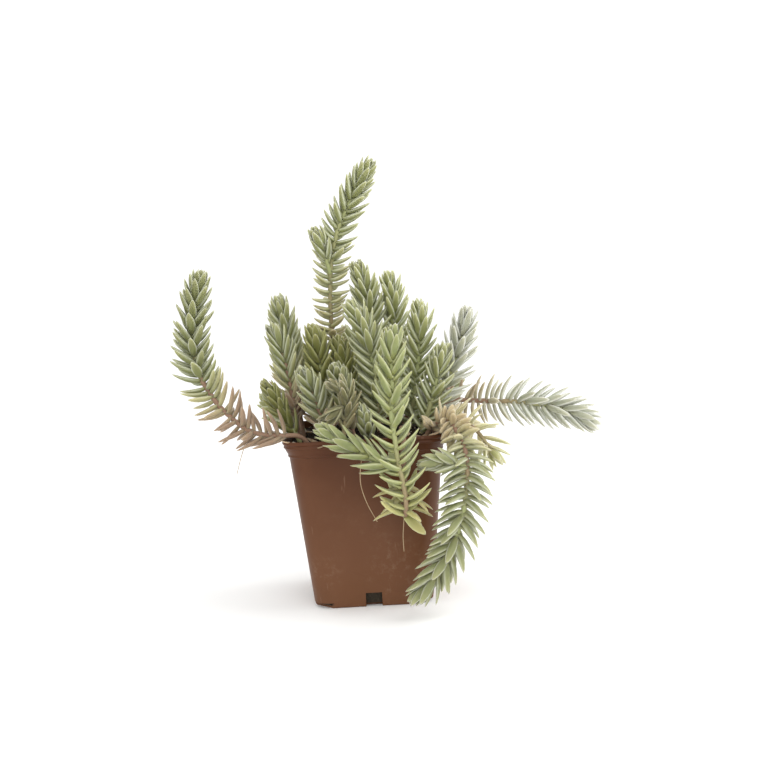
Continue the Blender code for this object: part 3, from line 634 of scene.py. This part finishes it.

# A stem's bloom is painted light and shade: brighter on the right, darker on the far left and deep inside
STEMS = [
    Stem("left_arch_stem", "glaucous_leaf", 14, 80, 13.8, 0.92, 54, 26, [
        (-31, -31, 91), (-36, -33, 97), (-45, -35, 98), (-58, -35, 100), (-67, -34, 105), (-77, -33, 115),
        (-83, -32, 124), (-88, -31, 135), (-90, -30, 148), (-89, -29, 163), (-86, -29, 177),
        (-82, -28, 190)], old=(1.1, 0.85, 0.85, 1.4), form=(1, 0.95), lowest=91,
        bloom=0.87, dropped=0.5),
    Stem("tall_stem", "glaucous_leaf", 38, 84, 13.2, 0.88, 45, 105, [
        (-13, 15, 91), (-16, 13, 139), (-16, 11, 168), (-14, 10, 190), (-9.5, 9, 207), (-2, 8, 222),
        (6, 8, 236), (14, 8, 247)],
        (Branch(6, 45, 12.5, 1.3, 60, 40, [(-15, 10, 183), (-18, 5, 196), (-21, 2, 204), (-23, 0, 211)]),),
        (0.45, 1.35, 0.8, 1.5), (0.9, 0.9), bloom=0.98, dropped=0.75),
    Stem("cluster_tall_stem", "glaucous_leaf", 12, 54, 14.5, 0.95, 34, 22, [
        (-35, -2, 91), (-40, 2, 129), (-42, 3, 150), (-44, 3, 163), (-45, 3, 174)],
        form=(0.88, 0.9), bloom=0.95),
    Stem("cluster_front_stem", "glaucous_leaf", 8, 54, 14.5, 0.95, 22, 20, [
        (-37, -11, 91), (-41, -11, 127), (-44, -12, 143), (-48, -13, 152), (-52, -14, 157)],
        form=(0.88, 0.9), bloom=0.93),
    Stem("cluster_back_stem", "glaucous_leaf", 10, 56, 14.5, 0.95, 34, 24, [
        (-28, 12, 91), (-37, 15, 125), (-42, 16, 145), (-50, 16, 165)], form=(0.88, 0.9)),
    Stem("short_left_stem", "shaded_leaf", 7, 60, 12, 1.5, 50, 60, [
        (-36, -20, 91), (-42, -20, 102), (-46, -21, 111), (-49, -22, 118), (-55, -24, 128)],
        form=(0.85, 0.85)),
    Stem("left_rosette_stem", "glaucous_leaf", 4, 58, 14.5, 1.05, 22, 12, [
        (-20, -27, 91), (-24, -30, 109), (-26, -34, 118), (-29, -37, 127), (-31, -40, 136)],
        form=(1.12, 1), bloom=0.83),
    Stem("middle_rosette_stem", "glaucous_leaf", 5, 58, 14.5, 1.05, 22, 14, [
        (-6, -20, 91), (-10, -23, 111), (-12, -27, 123), (-15, -31, 136)],
        form=(1.1, 1), bloom=0.79),
    Stem("dark_left_stem", "shaded_leaf", 8, 62, 14.5, 1.1, 40, 50, [
        (-23, -5, 91), (-23, -6, 121), (-24, -8, 140), (-27, -9, 157)], bloom=1.08),
    Stem("dark_middle_stem", "shaded_leaf", 8, 62, 14.5, 1.1, 40, 50, [
        (-8, -3, 91), (-10, -5, 118), (-11, -7, 136), (-14, -8, 149)], bloom=1.08),
    Stem("drooping_stem", "dry_leaf", 7, 60, 12.5, 1.15, 12, 60, [
        (-12, -36, 91), (-9, -38, 109), (-9, -40, 118), (-14, -42, 123), (-20, -44, 126)],
        (Branch(2, 50, 12.5, 1.4, 12, 60, [(-9, -39, 114), (-13, -43, 111), (-19, -45, 108),
                                           (-25, -47, 107)], form=(0.8, 0.8)),), form=(0.8, 0.8)),
    Stem("middle_back_stem", "glaucous_leaf", 14, 68, 14.5, 0.95, 60, 60, [
        (6, 14, 91), (5, 13, 126), (6, 12, 150), (5, 10, 169), (2, 9, 181), (0, 8, 191)],
        form=(0.88, 0.9), bloom=1.04),
    Stem("middle_right_stem", "glaucous_leaf", 8, 76, 14.5, 0.98, 60, 60, [
        (17, 17, 91), (20, 16, 131), (20, 16, 154), (19, 15, 171), (17, 14, 184)],
        form=(0.82, 0.85), bloom=1.17),
    Stem("middle_front_stem", "glaucous_leaf", 10, 64, 15.5, 0.95, 50, 60, [
        (8, -10, 91), (8, -13, 118), (6, -16, 137), (2, -18, 153), (-6, -20, 169)], form=(0.88, 0.9)),
    Stem("hooked_stem", "young_leaf", 48, 72, 14, 1.47, 70, 50, [
        (20, -34, 91), (20, -41, 99), (21, -49, 98), (20, -54, 88), (20, -56, 74), (19, -58, 63),
        (19, -61, 56), (20, -65, 63), (19, -66, 74), (17, -66, 85), (16, -65, 97), (15, -64, 110),
        (16, -62, 125), (17, -59, 140), (19, -56, 157)],
        (Branch(4, 52, 14.5, 1.5, 60, 60, [(18, -66, 81), (8, -66, 86), (-1, -64, 91), (-10, -62, 96),
                                           (-18, -60, 101), (-26, -58, 105)], form=(0.9, 0.8), bloom=0.95),),
        (1.2, 1.2, 0.9, 0.9), (0.95, 0.85), dropped=0.85),
    Stem("right_upright_stem", "glaucous_leaf", 5, 72, 14.5, 1, 60, 60, [
        (25, 2, 91), (29, 0, 112), (32, -1, 132), (34, -2, 148), (34, -3, 167)],
        form=(0.88, 0.85), bloom=1.16),
    Stem("right_leaning_stem", "bloomed_leaf", 7, 72, 16, 1.3, 45, 80, [
        (36, -4, 91), (41, -5, 108), (47, -6, 119), (52, -7, 130), (57, -8, 145), (61, -8, 162)],
        form=(0.9, 0.8), bloom=0.97),
    Stem("right_inner_stem", "glaucous_leaf", 3, 78, 13.5, 1.4, 40, 70, [
        (31, -16, 91), (37, -17, 108), (41, -18, 121), (44, -19, 132), (48, -20, 143)],
        form=(0.85, 0.8), bloom=1.06),
    Stem("right_level_stem", "bloomed_leaf", 16, 88, 15.5, 0.95, 44, 40, [
        (36, 10, 91), (48, 10, 106), (61, 9, 106), (75, 8, 105), (89, 7, 104), (104, 6, 101),
        (117, 5, 97), (126, 4, 92), (134, 3, 86)], old=(1, 0.85, 0.85, 1.5), form=(0.85, 0.85),
        bloom=0.97),
    Stem("hanging_stem", "pale_leaf", 8, 82, 15, 0.88, 76, 24, [
        (33, -30, 91), (38, -35, 99), (45, -40, 102), (49, -49, 97), (52, -56, 90), (53, -60, 81),
        (52, -62, 70), (50, -63, 59), (46.5, -63, 47), (41.5, -62, 36), (35, -61, 25), (27, -60, 16),
        (18.5, -58, 9)],
        (Branch(4, 50, 12.5, 1.4, 40, 60, [(53, -60, 80), (42, -62, 83), (35, -62, 83), (26, -61, 81)]),),
        (0.64, 0.95, 0.95, 1), (0.95, 0.9), bloom=0.97, dropped=0.5),
    Stem("pink_side_stem", "yellowing_leaf", 8, 76, 15, 1.6, 6, 44, [
        (38, -17, 91), (44, -20, 99), (53, -25, 99), (61, -30, 94), (67, -36, 85), (72, -41, 75)],
        form=(0.8, 0.7), opened=18, dropped=0.6),
    Stem("young_shoot", "glaucous_leaf", 3, 50, 10, 1.2, 60, 60, [
        (2, -33, 91), (1, -35, 100), (-1, -37, 107), (-4, -39, 115)]),
    Stem("back_left_stem", "glaucous_leaf", 7, 66, 14.5, 1.15, 50, 60, [
        (-24, 28, 91), (-27, 33, 105), (-32, 40, 122), (-36, 46, 140)]),
    Stem("back_middle_stem", "glaucous_leaf", 7, 66, 14.5, 1.15, 50, 60, [
        (-4, 30, 91), (-5, 35, 108), (-8, 41, 128), (-10, 45, 152)]),
    Stem("back_right_stem", "glaucous_leaf", 7, 66, 14.5, 1.15, 50, 60, [
        (16, 32, 91), (19, 37, 108), (25, 44, 124), (32, 50, 138)]),
    Stem("back_low_stem", "glaucous_leaf", 8, 66, 14.5, 1.15, 50, 60, [
        (32, 24, 91), (38, 30, 100), (48, 38, 108), (57, 45, 120)]),
    Stem("back_edge_stem", "glaucous_leaf", 8, 66, 14.5, 1.15, 50, 60, [
        (-36, 20, 91), (-43, 28, 99), (-53, 36, 104), (-62, 43, 114)]),
]

ROUTE_STEPS = 12
ROOT_DEPTH = 14 * MM
# The share of its full length that a leaf has at the tip; the stem ends as far below its route's last point
HEAD_SHARE = 0.6
# The stem thickens from its tip down over this length
TIP_RADIUS = 0.9 * MM
STEM_RADIUS = 1.3 * MM
THICKENING_LENGTH = 30 * MM
STEM_ROUNDNESS = 3
MERGE_DISTANCE = 0.01 * MM
# The bark turns brown nearer to the tip than the leaves do
BARK_LEAD = 24 * MM
# Leaf scars ring it, with a narrower ring between two of them, and each ring varies a little
RING_STEP = 1.1 * MM
SCAR_SHARE = 0.08
BETWEEN_SCARS = -0.6
RING_PLAY = 0.05


def smooth_route(route, before=None):
    """A smooth curve through the route's points. With a point before it, it starts in line with that."""
    points = [Vector(point) * MM for point in route]
    points = [before or 2 * points[0] - points[1]] + points + [2 * points[-1] - points[-2]]
    curve = []
    for p0, p1, p2, p3 in zip(points, points[1:], points[2:], points[3:]):
        for step in range(ROUTE_STEPS):
            t = step / ROUTE_STEPS
            curve.append(0.5 * (2 * p1 + (p2 - p0) * t + (2 * p0 - 5 * p1 + 4 * p2 - p3) * t * t
                                + (3 * p1 - p0 - 3 * p2 + p3) * t ** 3))
    curve.append(points[-2])
    return curve


class Path:
    """A curve measured by its length, up to the stem's growing point."""

    def __init__(self, points, head):
        self.points = points
        self.marks = [0.0]
        for a, b in zip(points, points[1:]):
            self.marks.append(self.marks[-1] + (b - a).length)
        self.length = self.marks[-1] - head

    def at(self, distance):
        """The point and the direction there."""
        index = min(max(bisect_left(self.marks, distance) - 1, 0), len(self.points) - 2)
        a, b = self.points[index], self.points[index + 1]
        step = self.marks[index + 1] - self.marks[index]
        return a.lerp(b, (distance - self.marks[index]) / step), (b - a).normalized()


def stem_path(plan):
    """Out of the soil straight up, then along the route."""
    foot = Vector(plan.route[0]) * MM
    foot.z = SOIL_TOP - ROOT_DEPTH
    return Path([foot] + smooth_route(plan.route, foot), HEAD_SHARE * plan.leaf * MM)


def age_at(reach, plan):
    """0 where the stem is fresh and 1 where it has grown old."""
    return min(max((reach / MM - plan.fresh) / plan.fade, 0), 1)


def tube_along(name, centres, radii, roundness):
    """A closed round tube along the centres, with its radius at each."""
    curve = bpy.data.curves.new(name, "CURVE")
    curve.dimensions = "3D"
    curve.bevel_depth = 1
    curve.bevel_resolution = roundness
    curve.use_fill_caps = True
    spline = curve.splines.new("POLY")
    spline.points.add(len(centres) - 1)
    for point, centre, radius in zip(spline.points, centres, radii):
        point.co = (*centre, 1)
        point.radius = radius
    tube = bpy.data.objects.new(name, curve)
    bpy.context.collection.objects.link(tube)
    select_only(tube)
    bpy.ops.object.convert(target="MESH")
    return bpy.context.object


def stem_tube(path, plan, draw):
    """The stem without its leaves: thicker below, with a low ring at each leaf scar."""
    centres, radii, ages = [], [], []
    count = int(path.length / RING_STEP)
    for index in range(count + 1):
        mark = path.length * index / count
        reach = path.length - mark
        thickened = min(reach / THICKENING_LENGTH, 1)
        scar = SCAR_SHARE * (1 if index % 2 else BETWEEN_SCARS) + draw.uniform(-RING_PLAY, RING_PLAY)
        centres.append(path.at(mark)[0])
        radii.append((TIP_RADIUS + (STEM_RADIUS - TIP_RADIUS) * thickened) * (1 + scar))
        ages.append(age_at(reach + BARK_LEAD, plan))
    tube = tube_along("stem", centres, radii, STEM_ROUNDNESS)
    bpy.ops.object.mode_set(mode="EDIT")
    bpy.ops.mesh.select_all(action="SELECT")
    bpy.ops.mesh.remove_doubles(threshold=MERGE_DISTANCE)
    bpy.ops.mesh.normals_make_consistent(inside=False)
    bpy.ops.object.mode_set(mode="OBJECT")
    bpy.ops.object.shade_smooth()
    corners = np.array([vert.co for vert in tube.data.vertices])
    nearest = np.linalg.norm(corners[:, None] - np.array(centres)[None], axis=2).argmin(axis=1)
    set_attribute(tube.data, "age", np.array(ages)[nearest])
    return tube


def search_tree(meshes):
    """One search tree of all these lists of points and faces."""
    verts, faces = [], []
    for points, shape in meshes:
        start = len(verts)
        verts += [tuple(point) for point in points]
        faces += [[start + index for index in face] for face in shape]
    return BVHTree.FromPolygons(verts, faces)


GOLDEN_ANGLE = 137.5
# At the closed tip: how far below it the first leaf grows, then a leaf's angle, its curl, its lean inwards,
# its share of the full thickness, and the rise to the next
FIRST_LEAF = 0.3 * MM
TIP_ANGLE = 26
TIP_CURL = 0.12
TIP_INWARD = 0.28
TIP_THICKNESS = 0.7
TIP_PITCH = 0.75 * MM
# From there the leaves lengthen over this reach, and open to the stem's spread, a little slower at first, and
# to this curl
LENGTHENED_REACH = 8 * MM
OPENING = 1.05
LEAF_CURL = 0.3
# How many times sooner than a leaf has opened it no longer leans inwards, has its full thickness, may drop
# and stands at the stem's full rise from the next
UPRIGHT_BY = 4
THICK_BY = 3
DROPPING_BY = 2
SPACED_BY = 1.4
# How much one leaf differs from the next, in shares and in degrees, and what age adds: more play, more sway
# by this many times, and a droop
LENGTH_PLAY = (0.92, 1.07)
WIDTH_PLAY = (0.88, 1.05)
CURL_PLAY = (0.7, 1.3)
ANGLE_PLAY, OLD_ANGLE_PLAY = 4, 16
TURN_PLAY, OLD_TURN_PLAY = 8, 20
SWAY, OLD_SWAY = 0.06, 2
OLD_DROOP = 0.35
# The leaves part to the left and the right of the side that faces the light. Of those that would still point
# towards it, within this angle, some have dropped
LIGHT = Vector((0.02, -1, 0.01))
PARTING = 0.45
FRONT = math.cos(math.radians(35))
# Where a leaf has no room, it is tried again with less spread and less length
LEAF_TRIES = [(1, 1), (0.85, 1), (0.7, 1), (0.55, 0.95), (0.4, 0.9), (1, 0.75), (0.25, 0.8), (0.6, 0.65)]
# How bright a leaf's own tone is, at the least and at the most
TONES = (0.98, 1.07)

LeafPlace = namedtuple("LeafPlace", "points age tone")


def with_age(share, age):
    """A share of the usual size that comes in as the leaf ages."""
    return 1 + (share - 1) * age


def grown_form(plan, reach, grown, age, draw):
    """How the leaf at this reach from the tip has grown; grown is how far it has opened."""
    old_length, old_width, old_thickness, _ = plan.old
    angle = TIP_ANGLE + (plan.spread - TIP_ANGLE) * grown ** OPENING
    angle += draw.uniform(-1, 1) * (ANGLE_PLAY + OLD_ANGLE_PLAY * age)
    length = plan.leaf * MM * (HEAD_SHARE + (1 - HEAD_SHARE) * min(reach / LENGTHENED_REACH, 1))
    length *= draw.uniform(*LENGTH_PLAY) * with_age(old_length, age)
    width = LEAF_WIDTH * plan.form[0] * draw.uniform(*WIDTH_PLAY) * with_age(old_width, age)
    thickness = LEAF_THICKNESS * plan.form[1] * with_age(old_thickness, age)
    thickness *= TIP_THICKNESS + (1 - TIP_THICKNESS) * min(grown * THICK_BY, 1)
    curl = (TIP_CURL + (LEAF_CURL - TIP_CURL) * grown) * draw.uniform(*CURL_PLAY)
    curl -= age * draw.uniform(0, OLD_DROOP)
    sway = draw.uniform(-SWAY, SWAY) * (1 + OLD_SWAY * age)
    inward = TIP_INWARD * max(1 - grown * UPRIGHT_BY, 0)
    return LeafForm(angle, length, width, thickness, curl, sway, inward)


def points_with_room(root, tangent, outward, form, lowest, obstacles):
    """The leaf's points where it touches none of the obstacles and stays above the lowest height, or None."""
    for fold, cut in LEAF_TRIES:
        tried = form._replace(angle=form.angle * fold, length=form.length * cut)
        points = leaf_at(root, tangent, outward, tried)
        if points[:, 2].min() < lowest:
            continue
        guard = BVHTree.FromPolygons([tuple(point) for point in points], GUARD_FACES)
        if not any(guard.overlap(obstacle) for obstacle in obstacles):
            return points
    return None


def grow_leaves(path, plan, obstacles, draw):
    """Leaves in a golden-angle spiral, close at the tip, wider apart and less regular below."""
    grown_leaves = []
    reach = FIRST_LEAF
    turn = draw.uniform(0, 360)
    while path.length - reach > plan.bare * MM:
        root, tangent = path.at(path.length - reach)
        grown = min(reach / (plan.opened * MM), 1)
        age = age_at(reach, plan)
        form = grown_form(plan, reach, grown, age, draw)
        azimuth = math.radians(turn)
        azimuth += PARTING * grown / 2 * math.sin(2 * azimuth)
        front = (LIGHT - LIGHT.project(tangent)).normalized()
        outward = Matrix.Rotation(azimuth, 3, tangent) @ front
        dropping = plan.dropped * min(grown * DROPPING_BY, 1)
        if not (math.cos(azimuth) > FRONT and draw.random() < dropping):
            points = points_with_room(root, tangent, outward, form, plan.lowest * MM, obstacles)
            if points is not None:
                # The tone is the stem's painted light and shade times the leaf's own random tone
                grown_leaves.append(LeafPlace(points, age, plan.bloom * draw.uniform(*TONES)))
        turn += GOLDEN_ANGLE + draw.uniform(-1, 1) * (TURN_PLAY + OLD_TURN_PLAY * age)
        rise = TIP_PITCH + (plan.pitch * MM - TIP_PITCH) * min(grown * SPACED_BY, 1)
        reach += rise * with_age(plan.old[3], age)
    return grown_leaves


def leaf_piece(place):
    """A leaf put where it grew, with its age and tone for its skin."""
    piece = reshaped_copy(leaf, place.points)
    set_attribute(piece.data, "age", place.age)
    set_attribute(piece.data, "tone", place.tone)
    return piece


# Stem bark: pale green skin near the tip, pinkish brown, rough and corky below
def stem_bark():
    mat, tree, shader = new_material("corky_stem_bark", 0.7)
    place = add_node(tree, "ShaderNodeTexCoord", {}, {}).outputs["Object"]
    grain = add_node(tree, "ShaderNodeTexNoise", {}, {"Vector": place, "Scale": 1 / (1.2 * MM), "Detail": 5})
    green = tint(tree, "#8D945E", "#A9AE7C", grain.outputs["Fac"])
    brown = tint(tree, "#6E5341", "#A5866D", grain.outputs["Fac"])
    age = add_node(tree, "ShaderNodeAttribute", {"attribute_name": "age"}, {}).outputs["Fac"]
    aged = tint(tree, green, brown, age)
    tree.links.new(aged, shader.inputs["Base Color"])
    bump = add_node(tree, "ShaderNodeBump", {},
                    {"Strength": 0.6, "Distance": 0.3 * MM, "Height": grain.outputs["Fac"]})
    tree.links.new(bump.outputs["Normal"], shader.inputs["Normal"])
    return mat


bark = stem_bark()
ground = search_tree(ground_parts)
# Each stem grows by its own random draws, so that a change to one doesn't shift the draws of the others
draws = {stem.node: random.Random(stem.node) for stem in STEMS}
Limb = namedtuple("Limb", "path plan tube")

# All stems and branches come first, because the leaves of one keep clear of the others
limbs = {}
for stem in STEMS:
    parts = [(stem_path(stem), stem._replace(bare=stem.bare + ROOT_DEPTH / MM))]
    parts += [(Path(smooth_route(branch.route), HEAD_SHARE * branch.leaf * MM), branch)
              for branch in stem.branches]
    limbs[stem.node] = [Limb(path, plan, stem_tube(path, plan, draws[stem.node])) for path, plan in parts]

solids = [(node, mesh_parts(limb.tube)) for node, parts in limbs.items() for limb in parts]
for stem in STEMS:
    others = search_tree([shape for node, shape in solids if node != stem.node])
    places = []
    for limb in limbs[stem.node]:
        places += grow_leaves(limb.path, limb.plan, (ground, others), draws[stem.node])
    solids += [(stem.node, (place.points, GUARD_FACES)) for place in places]
    pieces = [leaf_piece(place) for place in places]
    for piece in pieces:
        piece.data.materials.append(leaf_skins[stem.slot])
    tubes = [limb.tube for limb in limbs[stem.node]]
    for tube in tubes:
        tube.data.materials.append(bark)
    plant = join(pieces + tubes, "leafy_" + stem.node)
    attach(plant, "root")
    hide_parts(stem.node)


# Dry leaves that have dropped lie on the soil, and scraps of leaf have caught on the rim. They are shrunken,
# thin as paper and a little curled.

# Millimetres: where each lies, then how far it is turned in degrees and how long it is
DROPPED_LEAVES = [
    (-31, -38, 20, 11), (-24, -34, 140, 9), (-36, -30, 250, 10), (-14, -39, 80, 9), (-3, -40, 200, 10),
    (9, -38, 320, 8), (28, -37, 40, 10), (36, -33, 170, 9), (24, -26, 100, 11), (14, -22, 10, 9),
    (-28, -20, 300, 10), (-14, -30, 220, 9), (30, -8, 60, 10), (22, 20, 280, 9), (-10, 24, 30, 10),
    (-30, 8, 190, 9), (2, 36, 120, 10), (34, 34, 45, 9), (-34, 36, 315, 9), (12, 38, 240, 8)]
# Millimetres: scraps of leaf that are caught on the rim and the collar, with their height as well
RIM_SCRAPS = [
    (-31.5, -43.1, 90.2, 20, 4), (-26, -43.7, 91.6, 350, 5), (-40, -41, 95, 200, 5),
    (34.5, -43.8, 95.3, 12, 9), (43.6, 12, 92, 95, 5), (8, 44, 95, 170, 6)]
LYING_ANGLE = 86
LYING_HEIGHT = 0.8 * MM
DRY_WIDTH = 0.75 * LEAF_WIDTH
DRY_WIDTH_SHARE = 0.4
DRY_THICKNESS = 0.3 * LEAF_THICKNESS
DRY_CURL = 0.22
DRY_SWAY = 0.1


def dropped_leaf(x, y, height, turn, length):
    """A dry leaf lying with its root here; one turned by an odd angle has the brighter tone."""
    heading = Vector((math.cos(math.radians(turn)), math.sin(math.radians(turn)), 0))
    width = min(DRY_WIDTH, DRY_WIDTH_SHARE * length * MM)
    form = LeafForm(LYING_ANGLE, length * MM, width, DRY_THICKNESS, DRY_CURL, DRY_SWAY)
    points = leaf_at(Vector((x * MM, y * MM, height)), Vector((0, 0, 1)), heading, form)
    return leaf_piece(LeafPlace(points, 1, TONES[turn % 2]))


scraps = [dropped_leaf(x, y, SOIL_TOP + soil_height(x * MM, y * MM) + LYING_HEIGHT, turn, length)
          for x, y, turn, length in DROPPED_LEAVES]
scraps += [dropped_leaf(x, y, height * MM, turn, length) for x, y, height, turn, length in RIM_SCRAPS]
dropped = join(scraps, "dropped_dry_leaves")
dropped.data.materials.append(leaf_skins["dry_leaf"])
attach(dropped, "root")
bpy.data.objects.remove(leaf, do_unlink=True)


# Air roots have grown out of three of the stems and hang there, dead and dry. They are stiff threads, half a
# millimetre thick where they leave the stem and thinner at the end.

AIR_ROOT_RADIUS = 0.26 * MM
AIR_ROOT_TAPER = 0.3
AIR_ROOT_ROUNDNESS = 1
AIR_ROOTS = {
    "hook_air_root": [(18.8, -61, 56), (18, -61.4, 50), (17.5, -61.2, 44), (17.6, -61.3, 37)],
    "branch_air_root": [(-1, -64, 90), (-2.6, -64.4, 83), (-2.9, -64.2, 74), (-0.2, -63.6, 64),
                        (4.5, -63, 54)],
    "arch_air_root": [(-63, -35, 101), (-65.5, -34.8, 93), (-68, -34.8, 86), (-70.5, -34.5, 78)],
}


# Dead root: straw coloured and dry, with browner stretches a few millimetres long
def root_fibre():
    mat, tree, shader = new_material("dry_root_fibre", 0.7)
    place = add_node(tree, "ShaderNodeTexCoord", {}, {}).outputs["Object"]
    streak = add_node(tree, "ShaderNodeTexNoise", {}, {"Vector": place, "Scale": 1 / (4 * MM), "Detail": 2})
    streaked = tint(tree, "#86694C", "#B5A27F", streak.outputs["Fac"])
    tree.links.new(streaked, shader.inputs["Base Color"])
    return mat


fibre = root_fibre()
for name, route in AIR_ROOTS.items():
    centres = smooth_route(route)
    count = len(centres)
    radii = [AIR_ROOT_RADIUS * (1 - AIR_ROOT_TAPER * index / count) for index in range(count)]
    root = tube_along(name, centres, radii, AIR_ROOT_ROUNDNESS)
    root.data.materials.append(fibre)
    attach(root, "root")


# The room has a plain near-white floor, a pale surround and two soft lamps: the stronger one high on the
# right, and one in front.

FLOOR_SIZE = 60.0
SURROUND_STRENGTH = 1.15
LAMP_SIZE = 0.9
PLANT_MIDDLE = Vector((0.02, -0.02, 0.13))


# Matt white board: it takes soft shadows and has no shine
def floor_finish():
    mat, _, shader = new_material("matt_white_floor", 0.9)
    shader.inputs["Base Color"].default_value = hex_colour("#FBFBFA")
    shader.inputs["Specular IOR Level"].default_value = 0.0
    return mat


deselect()
bpy.ops.mesh.primitive_plane_add(size=FLOOR_SIZE)
floor = bpy.context.object
floor.name = "floor"
floor.data.materials.append(floor_finish())

world = bpy.data.worlds.new("pale_surround")
bpy.context.scene.world = world
world.use_nodes = True
world.node_tree.nodes["Background"].inputs["Color"].default_value = (1, 1, 1, 1)
world.node_tree.nodes["Background"].inputs["Strength"].default_value = SURROUND_STRENGTH


def soft_lamp(name, place, power):
    """A square lamp that shines on the middle of the plant and isn't seen itself."""
    lamp = bpy.data.lights.new(name, "AREA")
    lamp.size = LAMP_SIZE
    lamp.energy = power
    obj = bpy.data.objects.new(name, lamp)
    bpy.context.collection.objects.link(obj)
    obj.location = place
    obj.visible_camera = False
    obj.rotation_euler = (PLANT_MIDDLE - Vector(place)).to_track_quat("-Z", "Y").to_euler()


soft_lamp("key_lamp", (0.75, -0.1, 0.85), 6)
soft_lamp("front_lamp", (0.2, -1.2, 0.6), 3.5)
bpy.context.scene.view_settings.view_transform = "Standard"


# The camera stands where the photograph's did, a little above the pot and slightly rolled. Its place and its
# focal length were fitted to the pot's outline.

CAMERA_TARGET = Vector((12, 0, 119.3)) * MM
CAMERA_DISTANCE = 0.687
CAMERA_ELEVATION = math.radians(6)
CAMERA_ROLL = math.radians(3.2)
SENSOR_WIDTH = 36
FOCAL_PIXELS = 1210
IMAGE_WIDTH = 768
CLIP_END = 200

camera_data = bpy.data.cameras.new("camera")
camera_data.sensor_width = SENSOR_WIDTH
camera_data.lens = FOCAL_PIXELS * SENSOR_WIDTH / IMAGE_WIDTH
camera_data.clip_end = CLIP_END
camera = bpy.data.objects.new("camera", camera_data)
bpy.context.collection.objects.link(camera)
back = Vector((0, -math.cos(CAMERA_ELEVATION), math.sin(CAMERA_ELEVATION)))
right = Vector((1, 0, 0))
up = back.cross(right)
rolled_right = right * math.cos(CAMERA_ROLL) - up * math.sin(CAMERA_ROLL)
rolled_up = up * math.cos(CAMERA_ROLL) + right * math.sin(CAMERA_ROLL)
camera.matrix_world = (Matrix.Translation(CAMERA_TARGET + back * CAMERA_DISTANCE)
                       @ Matrix((rolled_right, rolled_up, back)).transposed().to_4x4())
bpy.context.scene.camera = camera
